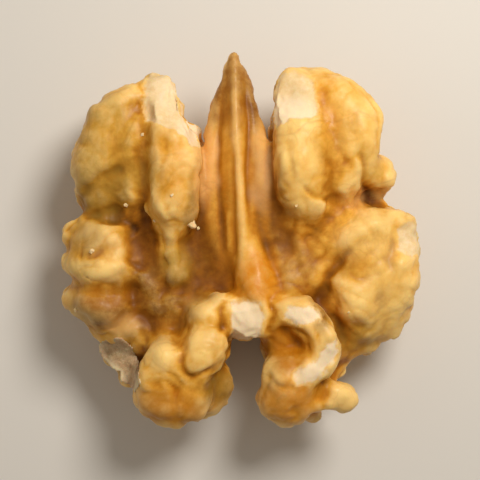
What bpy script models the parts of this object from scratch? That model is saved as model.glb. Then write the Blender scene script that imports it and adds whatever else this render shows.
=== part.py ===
"""Half of a shelled walnut: one kernel lobe pair, lying on its rounded back with its inner face up.

The kernel grew as one piece, so it is one solid. Its masses, arms and folds are laid out in millimetres,
fused into one skin, wrinkled by formula, thinned to a light mesh and scaled to metres in the last step.
+X is the kernel's right as seen from above, +Y points to its pointed end, and +Z is up.
"""

import math

import bmesh
import bpy
import numpy as np
from mathutils import Matrix, Vector, noise

# Driving dimensions, in millimetres
WIDTH = 30.0
LENGTH = 31.2
HEIGHT = 12.6
FLAT_DEPTH = 0.55

# How finely the shapes are meshed, fused and smoothed
TRIANGLES = 10500
FUSE_VOXEL = 0.30
SKIN_VOXEL = 0.24
SMOOTHING = 0.5
FUSE_PASSES = 3
SKIN_PASSES = 2
MASS_SUBDIVISIONS = 4
END_SUBDIVISIONS = 3
ROUTE_STEPS = 10
TUBE_STEPS = 5

# The dome that fills the shell: each mass is its centre and its half-axes
FLOOR_KEEP = 0.12
MASSES = {
    "left upper": ((-8.0, 5.0, 6.6), (5.6, 8.0, 6.2)),
    "left middle": ((-7.2, -1.5, 6.6), (7.0, 8.3, 6.6)),
    "left inner": ((-2.9, -0.2, 6.0), (3.9, 7.4, 6.0)),
    "left lower": ((-5.4, -9.3, 6.4), (3.6, 5.2, 5.9)),
    "right upper": ((6.9, 6.0, 6.6), (4.6, 7.5, 6.2)),
    "right middle": ((7.4, -1.6, 6.6), (6.8, 7.9, 6.6)),
    "right inner": ((3.1, 0.0, 6.0), (3.7, 7.4, 6.0)),
    "right lower": ((5.2, -9.7, 6.3), (3.4, 4.8, 5.7)),
}

# The arms and folds of the inner face: each point is x, y, z and the fold's radius there
FOLDS = {
    "core": [(-0.3, 7.0, 6.0, 1.6), (0.0, 3.4, 5.4, 2.4), (0.0, -1.0, 5.2, 2.8), (0.4, -5.6, 6.4, 2.5)],
    "left arm": [(-6.4, 11.9, 8.6, 1.3), (-5.9, 9.4, 9.3, 2.1), (-5.5, 5.8, 10.0, 2.35), (-5.6, 2.9, 9.5, 2.2),
                 (-5.7, 1.4, 8.6, 1.7)],
    "left arm saddle": [(-7.6, 10.8, 7.8, 1.9), (-8.6, 7.6, 7.9, 2.3), (-8.8, 4.4, 7.4, 2.1),
                        (-8.6, 2.4, 6.9, 1.8)],
    "left brow": [(-7.4, 12.2, 7.8, 1.2), (-9.9, 10.5, 8.1, 2.0), (-11.4, 7.6, 7.9, 2.3),
                  (-11.8, 4.9, 7.4, 2.1), (-11.7, 3.1, 6.8, 1.8)],
    "left cheek top": [(-13.0, 0.5, 6.8, 1.7), (-11.4, 0.2, 7.8, 1.9), (-9.4, 0.4, 7.8, 1.7)],
    "left cheek": [(-13.2, -2.2, 6.8, 1.75), (-11.4, -2.1, 8.1, 2.1), (-9.4, -2.3, 7.9, 1.8),
                   (-7.6, -3.0, 7.2, 1.2)],
    "left jowl": [(-12.9, -5.0, 6.4, 1.8), (-11.0, -5.4, 7.4, 2.0), (-8.9, -5.3, 7.3, 1.6)],
    "left chin": [(-10.9, -7.6, 6.0, 1.6), (-8.6, -7.2, 7.1, 1.6), (-6.4, -6.5, 7.2, 1.4)],
    "left flap": [(-10.4, -9.2, 5.4, 1.35), (-9.2, -10.9, 5.8, 1.2)],
    "left pit floor": [(-3.8, 1.4, 6.4, 1.9), (-3.6, -1.4, 6.4, 1.9), (-3.8, -3.4, 6.5, 1.9)],
    "left pit knoll": [(-5.6, -0.7, 8.0, 1.2), (-5.3, -2.7, 7.9, 1.35)],
    "left pit bank": [(-7.4, 0.6, 6.6, 1.8), (-7.6, -2.0, 6.6, 1.9), (-7.6, -4.6, 6.8, 2.0)],
    "left pit sill": [(-2.6, -4.6, 7.2, 1.7), (-4.6, -5.2, 7.2, 2.0), (-6.6, -5.6, 7.0, 2.0)],
    "left slope": [(-4.6, -7.2, 7.2, 1.8), (-6.8, -7.4, 7.0, 1.9), (-8.6, -8.2, 6.0, 1.7)],
    "left root": [(-0.8, -5.8, 9.0, 1.5), (-2.4, -5.9, 9.2, 1.45), (-3.4, -6.5, 9.1, 1.3),
                  (-3.5, -7.5, 8.8, 1.25)],
    "left root core": [(-1.4, -6.2, 7.6, 1.7), (-2.7, -8.4, 8.0, 1.8), (-3.5, -11.0, 7.8, 1.8)],
    "left toe inner": [(-3.0, -8.9, 10.1, 1.9), (-3.3, -9.7, 10.1, 1.95)],
    "left toe outer": [(-6.2, -9.7, 9.7, 1.8), (-6.7, -10.9, 9.5, 1.9)],
    "left toe lower": [(-7.0, -12.9, 8.6, 1.9), (-5.6, -13.3, 8.8, 2.1), (-4.3, -12.9, 8.8, 2.0)],
    "left toe heel": [(-1.9, -12.0, 6.6, 1.5), (-3.0, -12.8, 6.6, 1.8)],
    "left toe core": [(-4.9, -8.8, 8.2, 1.7), (-4.7, -10.4, 8.4, 2.0), (-5.2, -12.4, 8.2, 2.0)],
    "right arm": [(4.8, 12.5, 8.6, 1.6), (4.8, 9.6, 9.5, 2.15), (4.9, 6.6, 9.9, 2.2), (5.0, 3.9, 9.5, 2.0),
                  (5.5, 2.4, 8.6, 1.6)],
    "right brow": [(6.4, 12.6, 8.0, 1.6), (8.6, 11.2, 8.6, 1.9), (9.7, 9.1, 8.7, 2.1), (9.1, 6.8, 8.7, 2.0),
                   (8.4, 4.8, 8.3, 1.9)],
    "right arm saddle": [(6.4, 11.2, 8.2, 1.9), (7.2, 8.4, 8.4, 2.3), (7.0, 5.2, 8.2, 2.2),
                         (7.6, 3.2, 7.0, 1.7)],
    "right arm heel": [(6.2, 2.6, 7.5, 1.9), (7.8, 2.2, 7.4, 1.8), (9.2, 2.6, 6.9, 1.5)],
    "right knob": [(9.6, 5.6, 7.8, 1.5), (11.1, 5.6, 7.6, 1.65)],
    "right cheek top": [(6.6, -0.9, 7.6, 1.5), (9.0, 0.5, 8.3, 1.8), (11.4, 0.9, 8.3, 1.8),
                        (13.3, 0.8, 7.4, 1.6)],
    "right cheek": [(13.0, 0.3, 7.4, 1.8), (12.8, -2.6, 7.9, 2.1), (12.3, -4.9, 7.2, 2.0),
                    (12.0, -6.6, 6.4, 1.8)],
    "right dimple knoll": [(9.0, -3.2, 8.1, 1.8), (9.5, -4.8, 8.5, 1.9), (10.2, -6.8, 7.3, 1.8)],
    "right cheek fill": [(10.2, -1.0, 8.2, 2.0), (11.2, -3.6, 8.1, 2.1)],
    "right valley": [(3.6, 1.6, 7.2, 1.9), (4.4, -1.2, 7.4, 2.0), (5.8, -3.6, 7.2, 2.0)],
    "right valley floor": [(2.9, -0.4, 7.2, 1.8), (3.2, -2.8, 7.4, 1.9), (3.9, -4.4, 7.7, 1.8)],
    "right valley bank": [(7.0, -1.8, 7.4, 1.9), (7.4, -4.2, 7.2, 1.9), (8.0, -6.6, 6.8, 1.9)],
    "right chin": [(8.2, -8.2, 6.2, 1.9), (10.2, -8.2, 5.9, 1.6)],
    "bridge": [(-1.8, -6.0, 8.7, 1.4), (0.5, -6.5, 9.1, 1.8), (2.8, -5.9, 9.2, 1.5)],
    "bridge crown": [(0.3, 1.2, 8.4, 1.1), (0.7, -1.2, 8.7, 1.4), (1.2, -3.4, 8.9, 1.8), (1.4, -5.4, 9.1, 1.8)],
    "right root": [(2.4, -5.7, 9.2, 1.4), (4.4, -6.0, 9.7, 1.4), (6.0, -6.8, 10.1, 1.35),
                   (6.6, -8.4, 10.3, 1.35), (6.2, -9.9, 10.2, 1.4), (5.2, -10.9, 10.0, 1.5),
                   (4.4, -11.6, 9.6, 2.0)],
    "right root core": [(5.2, -6.6, 8.1, 1.7), (6.2, -8.8, 8.3, 1.8), (5.3, -10.8, 8.0, 1.9)],
    "root recess": [(3.3, -6.9, 7.9, 1.8), (4.0, -9.2, 8.0, 1.9)],
    "right toe": [(3.8, -11.0, 9.2, 2.2), (3.7, -12.9, 8.6, 2.3)],
    "right toe knob": [(6.4, -12.6, 8.2, 1.35), (8.4, -12.9, 8.0, 1.25)],
    "right toe heel": [(5.6, -13.4, 6.4, 1.6), (4.2, -12.4, 6.4, 1.8)],
}

# The keel between the upper arms: y, x of the ridge, half-width, z of the edges and z of the ridge
KEEL = [
    (15.7, -0.55, 0.2, 8.5, 8.8),
    (14.9, -0.53, 0.6, 8.3, 9.1),
    (13.9, -0.5, 1.0, 8.2, 9.4),
    (12.1, -0.4, 1.65, 8.2, 9.9),
    (10.0, -0.35, 2.15, 8.2, 10.2),
    (8.1, -0.3, 2.75, 8.3, 10.3),
    (5.0, -0.2, 3.25, 8.3, 10.4),
    (2.0, 0.0, 3.5, 8.1, 10.3),
    (-1.0, 0.3, 3.7, 7.7, 10.1),
    (-3.6, 0.5, 3.4, 7.4, 9.7),
    (-6.0, 0.6, 2.4, 7.2, 9.2),
]
KEEL_UNDERSIDE = 0.75
KEEL_RING = 48
KEEL_SHOULDER = 0.55
KEEL_SQUARENESS = 6
KEEL_RIDGE_WIDTH = 0.17
KEEL_GROOVE = 0.18
KEEL_GROOVE_PLACE = 0.40
KEEL_GROOVE_WIDTH = 0.13

# Folds of the back: their pitch, height and roundness, how far their creases wander, and what breaks them up
BACK_PITCH = 3.3
BACK_HEIGHT = 1.15
BACK_ROUNDNESS = 0.7
BACK_MEAN = 0.6
BACK_WANDER = 2.2
BACK_WANDER_SPACING = 6.5
BACK_WANDER_SEEDS = ((3.1, 7.7, 1.3), (9.2, 0.4, 5.8), (4.6, 2.9, 8.1))
BACK_SLANT = 0.55
BACK_LEFT_SHIFT = 0.37
BACK_BREAK = 1.5
BACK_BREAK_SPACING = 3.0
BACK_BREAK_SEED = (6.3, 1.9, 4.2)

# The groove down the middle of the back, between the two lobes
MIDLINE_DEPTH = 1.5
MIDLINE_WIDTH = 0.6
MIDLINE_WANDER = 0.9
MIDLINE_SEED = (2.2, 5.1, 7.4)

# Ripples of the inner face
FACE_SPACING = 2.9
FACE_SEED = (1.7, 4.4, 0.9)
FACE_HEIGHT = 0.7
FACE_ROUNDNESS = 0.8
FACE_MEAN = 0.23
FACE_WANDER_SPACING = 6.4
FACE_WANDER_SEED = (5.0, 2.0, 8.0)

# Where the back's folds fade, by the skin's upward slope and its height, and where the keel stays smooth
BACK_FADE_SLOPE = (-0.15, 0.45)
BACK_FADE_HEIGHT = (6.0, 9.0)
KEEL_FADE_SIDE = (2.6, 3.6)
KEEL_FADE_END = (-5.0, -2.0)

SKIN_COLOUR = (0.66, 0.36, 0.11, 1.0)
SKIN_ROUGHNESS = 0.42
MM = 0.001


def clear_scene():
    """Removes whatever the scene held."""
    for obj in list(bpy.data.objects):
        bpy.data.objects.remove(obj)


def smooth_step(low, high, value):
    """0 below low, 1 above high, and a smooth rise between them."""
    t = np.clip((value - low) / (high - low), 0.0, 1.0)
    return t * t * (3.0 - 2.0 * t)


def add_masses(bm):
    """The dome's masses: ellipsoids whose upper halves are pressed down to the floor of the inner face."""
    for centre, half_axes in MASSES.values():
        made = bmesh.ops.create_icosphere(bm, subdivisions=MASS_SUBDIVISIONS, radius=1.0)
        bmesh.ops.scale(bm, vec=half_axes, verts=made["verts"])
        for vert in made["verts"]:
            vert.co.z *= FLOOR_KEEP if vert.co.z > 0 else 1.0
        bmesh.ops.translate(bm, vec=centre, verts=made["verts"])


def add_folds(bm):
    """Every fold: a smooth tube through its route's points, with a ball at each end."""
    curve = bpy.data.curves.new("fold_routes", "CURVE")
    curve.dimensions = "3D"
    curve.bevel_depth = 1.0
    curve.bevel_resolution = TUBE_STEPS
    curve.resolution_u = ROUTE_STEPS
    curve.use_fill_caps = True
    for route in FOLDS.values():
        spline = curve.splines.new("BEZIER")
        spline.bezier_points.add(len(route) - 1)
        for point, (x, y, z, radius) in zip(spline.bezier_points, route):
            point.co = (x, y, z)
            point.radius = radius
            point.handle_left_type = point.handle_right_type = "AUTO"
        for x, y, z, radius in (route[0], route[-1]):
            place = Matrix.Translation((x, y, z))
            bmesh.ops.create_icosphere(bm, subdivisions=END_SUBDIVISIONS, radius=radius, matrix=place)
    tubes = bpy.data.objects.new("fold_routes", curve)
    bpy.context.scene.collection.objects.link(tubes)
    bpy.context.view_layer.update()
    mesh = bpy.data.meshes.new_from_object(tubes.evaluated_get(bpy.context.evaluated_depsgraph_get()))
    bm.from_mesh(mesh)
    bpy.data.objects.remove(tubes)
    bpy.data.meshes.remove(mesh)


def keel_ring(bm, y, x, half_width, edge_z, ridge_z):
    """One cross-section of the keel: shoulders, two grooves and a narrow ridge over a boat-shaped underside."""
    ring = []
    for i in range(KEEL_RING):
        turn = 2.0 * math.pi * i / KEEL_RING
        across, up = math.cos(turn), math.sin(turn)
        shoulder = KEEL_SHOULDER * (1.0 - across ** KEEL_SQUARENESS)
        crest = (1.0 - KEEL_SHOULDER) * math.exp(-((across / KEEL_RIDGE_WIDTH) ** 2))
        groove = KEEL_GROOVE * math.exp(-(((abs(across) - KEEL_GROOVE_PLACE) / KEEL_GROOVE_WIDTH) ** 2))
        rise = (ridge_z - edge_z) * (shoulder + crest - groove) if up >= 0 else up * KEEL_UNDERSIDE * half_width
        ring.append(bm.verts.new((x + half_width * across, y, edge_z + rise)))
    return ring


def add_keel(bm):
    """The pointed keel that runs down the middle of the inner face."""
    rings = [keel_ring(bm, *station) for station in KEEL]
    for ring, following in zip(rings, rings[1:]):
        for i in range(KEEL_RING):
            j = (i + 1) % KEEL_RING
            bm.faces.new((ring[i], ring[j], following[j], following[i]))
    bm.faces.new(reversed(rings[0]))
    bm.faces.new(rings[-1])


def with_modifier(obj, kind, **settings):
    """Adds a modifier to the object, applies it, and returns the object."""
    modifier = obj.modifiers.new(kind.lower(), kind)
    for key, value in settings.items():
        setattr(modifier, key, value)
    bpy.context.view_layer.update()
    graph = bpy.context.evaluated_depsgraph_get()
    mesh = bpy.data.meshes.new_from_object(obj.evaluated_get(graph))
    obj.modifiers.clear()
    old, obj.data = obj.data, mesh
    bpy.data.meshes.remove(old)
    return obj


def remeshed(obj, voxel, passes):
    """Fuses the object's shapes into one even skin, smooths it, and returns the object."""
    with_modifier(obj, "REMESH", mode="VOXEL", voxel_size=voxel, adaptivity=0.0)
    return with_modifier(obj, "SMOOTH", factor=SMOOTHING, iterations=passes)


def fused_body():
    """The masses, folds and keel as one closed skin."""
    bm = bmesh.new()
    add_masses(bm)
    add_folds(bm)
    add_keel(bm)
    bmesh.ops.recalc_face_normals(bm, faces=bm.faces)
    mesh = bpy.data.meshes.new("walnut_kernel")
    bm.to_mesh(mesh)
    bm.free()
    obj = bpy.data.objects.new("walnut_kernel", mesh)
    bpy.context.scene.collection.objects.link(obj)
    return remeshed(obj, FUSE_VOXEL, FUSE_PASSES)


def noise_at(points, spacing, seed):
    """Smooth noise from -1 to 1 at each point, with bumps about this far apart."""
    offset = Vector(seed)
    return np.array([noise.noise(Vector(p) / spacing + offset) for p in points])


def back_relief(points):
    """Height of the back's folds: round tops between narrow creases that branch outward from the midline."""
    wander = [noise_at(points, BACK_WANDER_SPACING, seed) for seed in BACK_WANDER_SEEDS]
    bent = points + BACK_WANDER * np.stack(wander, axis=1)
    side = np.where(points[:, 0] < 0, BACK_LEFT_SHIFT, 0.0)
    phase = (bent[:, 1] + BACK_SLANT * np.abs(bent[:, 0])) / BACK_PITCH + side
    stripes = np.sin(math.pi * phase) + BACK_BREAK * noise_at(bent, BACK_BREAK_SPACING, BACK_BREAK_SEED)
    folds = BACK_HEIGHT * (np.minimum(np.abs(stripes), 1.0) ** BACK_ROUNDNESS - BACK_MEAN)
    middle = points[:, 0] + MIDLINE_WANDER * noise_at(points, BACK_WANDER_SPACING, MIDLINE_SEED)
    return folds - MIDLINE_DEPTH * np.exp(-((middle / MIDLINE_WIDTH) ** 2))


def face_relief(points):
    """Height of the inner face's gentle ripples."""
    wander = noise_at(points, FACE_WANDER_SPACING, FACE_WANDER_SEED)
    billow = np.abs(noise_at(points + wander[:, None], FACE_SPACING, FACE_SEED))
    return FACE_HEIGHT * (billow ** FACE_ROUNDNESS - FACE_MEAN)


def wrinkle(obj):
    """Moves the skin along its normals: strong folds on the back and sides, ripples on the inner face."""
    mesh = obj.data
    count = len(mesh.vertices)
    points = np.empty(count * 3)
    normals = np.empty(count * 3)
    mesh.vertices.foreach_get("co", points)
    mesh.vertices.foreach_get("normal", normals)
    points = points.reshape(-1, 3)
    normals = normals.reshape(-1, 3)
    on_back = 1.0 - smooth_step(*BACK_FADE_SLOPE, normals[:, 2])
    on_back *= 1.0 - smooth_step(*BACK_FADE_HEIGHT, points[:, 2])
    on_keel = 1.0 - smooth_step(*KEEL_FADE_SIDE, np.abs(points[:, 0]))
    on_keel *= smooth_step(*KEEL_FADE_END, points[:, 1])
    height = on_back * back_relief(points)
    height += (1.0 - on_back) * (1.0 - on_keel) * face_relief(points)
    points += normals * height[:, None]
    mesh.vertices.foreach_set("co", points.ravel())
    mesh.update()


def seat(obj):
    """Scales the kernel to its driving dimensions, cuts the flats it rests on, and centres it on its base."""
    mesh = obj.data
    corners = np.array([v.co for v in mesh.vertices])
    low, high = corners.min(0), corners.max(0)
    size = Vector((WIDTH, LENGTH, HEIGHT + FLAT_DEPTH))
    scale = [size[i] / (high[i] - low[i]) for i in range(3)]
    centre = Vector(((low[0] + high[0]) / 2, (low[1] + high[1]) / 2, low[2]))
    bm = bmesh.new()
    bm.from_mesh(mesh)
    bmesh.ops.translate(bm, vec=-centre, verts=bm.verts)
    bmesh.ops.scale(bm, vec=scale, verts=bm.verts)
    cut = bmesh.ops.bisect_plane(
        bm,
        geom=bm.verts[:] + bm.edges[:] + bm.faces[:],
        plane_co=(0, 0, FLAT_DEPTH),
        plane_no=(0, 0, -1),
        clear_outer=True,
    )
    rim = [item for item in cut["geom_cut"] if isinstance(item, bmesh.types.BMEdge)]
    bmesh.ops.holes_fill(bm, edges=rim)
    bmesh.ops.translate(bm, vec=(0, 0, -FLAT_DEPTH), verts=bm.verts)
    bmesh.ops.scale(bm, vec=(MM, MM, MM), verts=bm.verts)
    bmesh.ops.triangulate(bm, faces=bm.faces)
    bm.to_mesh(mesh)
    bm.free()


def skin_material():
    """The kernel's thin golden-brown skin."""
    material = bpy.data.materials.new("kernel_skin")
    material.use_nodes = True
    shader = material.node_tree.nodes["Principled BSDF"]
    shader.inputs["Base Color"].default_value = SKIN_COLOUR
    shader.inputs["Roughness"].default_value = SKIN_ROUGHNESS
    shader.inputs["Metallic"].default_value = 0.0
    return material


def main():
    """Builds the kernel."""
    clear_scene()
    kernel = fused_body()
    wrinkle(kernel)
    remeshed(kernel, SKIN_VOXEL, SKIN_PASSES)
    ratio = TRIANGLES / (2 * len(kernel.data.polygons))
    with_modifier(kernel, "DECIMATE", decimate_type="COLLAPSE", ratio=ratio, use_collapse_triangulate=True)
    seat(kernel)
    kernel.data.shade_smooth()
    kernel.data.materials.append(skin_material())


main()
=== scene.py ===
"""Looks of one shelled walnut half, lying on its rounded back with its inner face up.

The kernel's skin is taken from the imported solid, made finer and shaped in small steps: creases are sharpened,
folds get their own wrinkles, the keel gets its ridge and grooves, and the places where the skin is knocked off
show the pale meat. Sizes and places are in millimetres, with +X to the kernel's right, +Y to its pointed end
and +Z up, and they become metres when they are written to a mesh.
"""

import logging
import math
from dataclasses import dataclass, field
from enum import Enum

import bmesh
import bpy
import numpy as np
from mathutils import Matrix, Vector, noise
from mathutils.bvhtree import BVHTree


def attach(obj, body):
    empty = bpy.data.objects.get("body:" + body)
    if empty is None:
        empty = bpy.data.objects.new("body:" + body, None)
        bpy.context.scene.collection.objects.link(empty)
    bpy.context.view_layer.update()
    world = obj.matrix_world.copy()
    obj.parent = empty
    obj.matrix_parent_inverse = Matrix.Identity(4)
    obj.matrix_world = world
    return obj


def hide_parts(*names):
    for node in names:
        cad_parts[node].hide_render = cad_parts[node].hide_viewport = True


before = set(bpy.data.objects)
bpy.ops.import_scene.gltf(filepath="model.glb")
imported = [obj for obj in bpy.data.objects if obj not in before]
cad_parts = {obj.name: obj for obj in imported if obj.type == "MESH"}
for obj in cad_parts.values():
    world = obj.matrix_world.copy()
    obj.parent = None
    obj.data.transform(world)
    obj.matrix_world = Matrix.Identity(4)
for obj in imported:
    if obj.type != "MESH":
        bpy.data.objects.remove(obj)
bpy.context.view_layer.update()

MM = 0.001
NODE = "walnut_kernel"
log = logging.getLogger("walnut_half")

Place = tuple[float, float]
Colour = tuple[float, float, float]


def smooth_step(low: float, high: float, value: np.ndarray) -> np.ndarray:
    """Rises smoothly from 0 at low to 1 at high."""
    t = np.clip((value - low) / (high - low), 0.0, 1.0)
    return t * t * (3.0 - 2.0 * t)


def linear(colour: Colour) -> tuple[float, float, float, float]:
    """Turns a display colour, 0 to 255, into the linear colour that a shader takes."""
    parts = [((c / 255.0 + 0.055) / 1.055) ** 2.4 for c in colour]
    return (parts[0], parts[1], parts[2], 1.0)


def noise_field(points: np.ndarray, spacing: float, seed: Colour) -> np.ndarray:
    """Smooth noise from -1 to 1 at every point.

    Args:
        points: Places in millimetres, one a row.
        spacing: About how far apart the noise's bumps are.
        seed: A shift that picks one noise out of many.

    Returns:
        One value for each point.
    """
    shift = Vector(seed)
    return np.array([noise.noise(Vector(p) / spacing + shift) for p in points])


def wander(points: np.ndarray, spacing: float, reach: float, seed: Colour) -> np.ndarray:
    """The points' places seen from above, pushed about so that nothing drawn on them is straight.

    Args:
        points: Places in millimetres, one a row.
        spacing: About how far apart the bends are.
        reach: How far a place is pushed at most.
        seed: A shift that picks one noise out of many.

    Returns:
        The pushed x and y of each point.
    """
    turned = (seed[1] + 3.7, seed[2] + 1.9, seed[0] + 5.3)
    push = np.stack([noise_field(points, spacing, seed), noise_field(points, spacing, turned)], axis=1)
    return points[:, :2] + reach * push


class Press(Enum):
    """Whether a stroke raises the skin or presses it in."""

    RIDGE = 1.0
    GROOVE = -1.0


@dataclass(frozen=True)
class Stroke:
    """A narrow ridge or groove that runs along a route over the inner face."""

    press: Press
    width: float
    height: float
    route: tuple[Place, ...]
    steps: int = 6

    def curve(self) -> np.ndarray:
        """The route as a smooth curve through all of its points."""
        stations = np.array(self.route)
        ends = np.vstack([2 * stations[0] - stations[1], stations, 2 * stations[-1] - stations[-2]])
        curve = []
        for a, b, c, d in zip(ends, ends[1:], ends[2:], ends[3:]):
            for t in np.arange(self.steps) / self.steps:
                bend = (2 * b) + (c - a) * t + (2 * a - 5 * b + 4 * c - d) * t ** 2 + (3 * (b - c) + d - a) * t ** 3
                curve.append(0.5 * bend)
        curve.append(stations[-1])
        return np.array(curve)

    def relief(self, places: np.ndarray) -> np.ndarray:
        """How far the stroke moves each place outward, in millimetres.

        Args:
            places: The x and y of each point.

        Returns:
            The move at each point, which fades at both ends of a long route.
        """
        curve = self.curve()
        length = np.linalg.norm(np.diff(curve, axis=0), axis=1).sum()
        least = np.interp(length / self.width, (2.0, 6.0), (1.0, 0.25))
        reach = 3.0 * self.width
        near = ((places > curve.min(0) - reach) & (places < curve.max(0) + reach)).all(axis=1)
        close = np.full(near.sum(), np.inf)
        along = np.zeros(near.sum())
        for i, (start, end) in enumerate(zip(curve, curve[1:])):
            way = end - start
            t = np.clip(((places[near] - start) @ way) / (way @ way), 0.0, 1.0)
            gap = np.linalg.norm(places[near] - start - t[:, None] * way, axis=1)
            closer = gap < close
            close[closer] = gap[closer]
            along[closer] = (i + t[closer]) / (len(curve) - 1)
        fade = smooth_step(0.0, 0.22, along) * smooth_step(0.0, 0.22, 1.0 - along)
        moved = np.zeros(len(places))
        profile = np.exp(-((close / self.width) ** 2)) * (least + (1.0 - least) * fade)
        moved[near] = self.press.value * self.height * profile
        return moved


@dataclass(frozen=True)
class Outline:
    """A closed outline on the inner face, seen from above."""

    corners: tuple[Place, ...]

    def inside(self, places: np.ndarray) -> np.ndarray:
        """How far each place lies inside the outline, in millimetres, and below 0 outside it."""
        corners = np.array(self.corners)
        following = np.roll(corners, -1, axis=0)
        close = np.full(len(places), np.inf)
        odd = np.zeros(len(places), dtype=bool)
        for start, end in zip(corners, following):
            way = end - start
            t = np.clip(((places - start) @ way) / (way @ way), 0.0, 1.0)
            close = np.minimum(close, np.linalg.norm(places - start - t[:, None] * way, axis=1))
            if start[1] != end[1]:
                spans = (start[1] > places[:, 1]) != (end[1] > places[:, 1])
                odd ^= spans & (places[:, 0] < start[0] + (places[:, 1] - start[1]) * way[0] / way[1])
        return np.where(odd, close, -close)


@dataclass(frozen=True)
class Chip:
    """A place where the brown skin and a little meat are knocked off, which leaves a pale, flatter face."""

    outline: Outline
    depth: float
    flatness: float


@dataclass(frozen=True)
class Tint:
    """A soft-edged oval of the inner face that has a tint: in some groups the skin's own colour, in others painted
    shade or a painted highlight.
    """

    centre: Place
    radii: Place
    strength: float = 1.0

    def cover(self, places: np.ndarray) -> np.ndarray:
        """How strongly the tint covers each place, from 0 to its strength."""
        reach = np.linalg.norm((places - np.array(self.centre)) / np.array(self.radii), axis=1)
        return self.strength * (1.0 - smooth_step(0.45, 1.2, reach))


@dataclass(frozen=True)
class Pull:
    """A soft sideways pull on the outline seen from above, strongest at one place."""

    centre: Place
    radii: Place
    way: Place

    def shift(self, places: np.ndarray) -> np.ndarray:
        """How far each place is drawn along x and y."""
        offset = (places - np.array(self.centre)) / np.array(self.radii)
        return np.exp(-(offset ** 2).sum(axis=1))[:, None] * np.array(self.way)


class SkinMesh:
    """A closed mesh held as arrays in millimetres, for shaping by formula."""

    def __init__(self, mesh: bpy.types.Mesh) -> None:
        """Reads the mesh's points and edges."""
        self.mesh = mesh
        self.count = len(mesh.vertices)
        edges = np.empty(len(mesh.edges) * 2, dtype=np.int64)
        mesh.edges.foreach_get("vertices", edges)
        self.edges = edges.reshape(-1, 2)
        self.degree = np.bincount(edges, minlength=self.count)
        self.points = self.read("co") / MM

    def read(self, name: str) -> np.ndarray:
        """One of the vertices' three-part values, a row for each vertex."""
        values = np.empty(self.count * 3)
        self.mesh.vertices.foreach_get(name, values)
        return values.reshape(-1, 3)

    def write(self) -> None:
        """Puts the points back into the mesh, in metres."""
        self.mesh.vertices.foreach_set("co", (self.points * MM).ravel())
        self.mesh.update()

    def normals(self) -> np.ndarray:
        """The outward direction at each point."""
        self.write()
        return self.read("normal")

    def relaxed(self, values: np.ndarray, steps: int) -> np.ndarray:
        """Averages a value with its neighbours' over and over.

        Args:
            values: One row for each point.
            steps: How many times it is averaged, which sets how far the smoothing reaches.

        Returns:
            The smoothed values, in the same layout.
        """
        flat = values.reshape(self.count, -1).copy()
        first, second = self.edges[:, 0], self.edges[:, 1]
        for _ in range(steps):
            for column in range(flat.shape[1]):
                line = flat[:, column]
                total = np.bincount(first, weights=line[second], minlength=self.count)
                total += np.bincount(second, weights=line[first], minlength=self.count)
                flat[:, column] = 0.5 * line + 0.5 * total / self.degree
        return flat.reshape(values.shape)

    def hollow(self, steps: int) -> np.ndarray:
        """How far each point lies below its smoothed surroundings, in millimetres, and below 0 on a ridge."""
        return ((self.relaxed(self.points, steps) - self.points) * self.normals()).sum(axis=1)

    def move(self, height: np.ndarray) -> None:
        """Moves every point outward by its height in millimetres."""
        self.points += self.normals() * height[:, None]
        self.write()

    def record(self, name: str, values: np.ndarray) -> None:
        """Keeps a value at each point for the material to read."""
        layer = self.mesh.attributes.new(name, "FLOAT", "POINT")
        layer.data.foreach_set("value", values.astype(np.float32))


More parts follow.
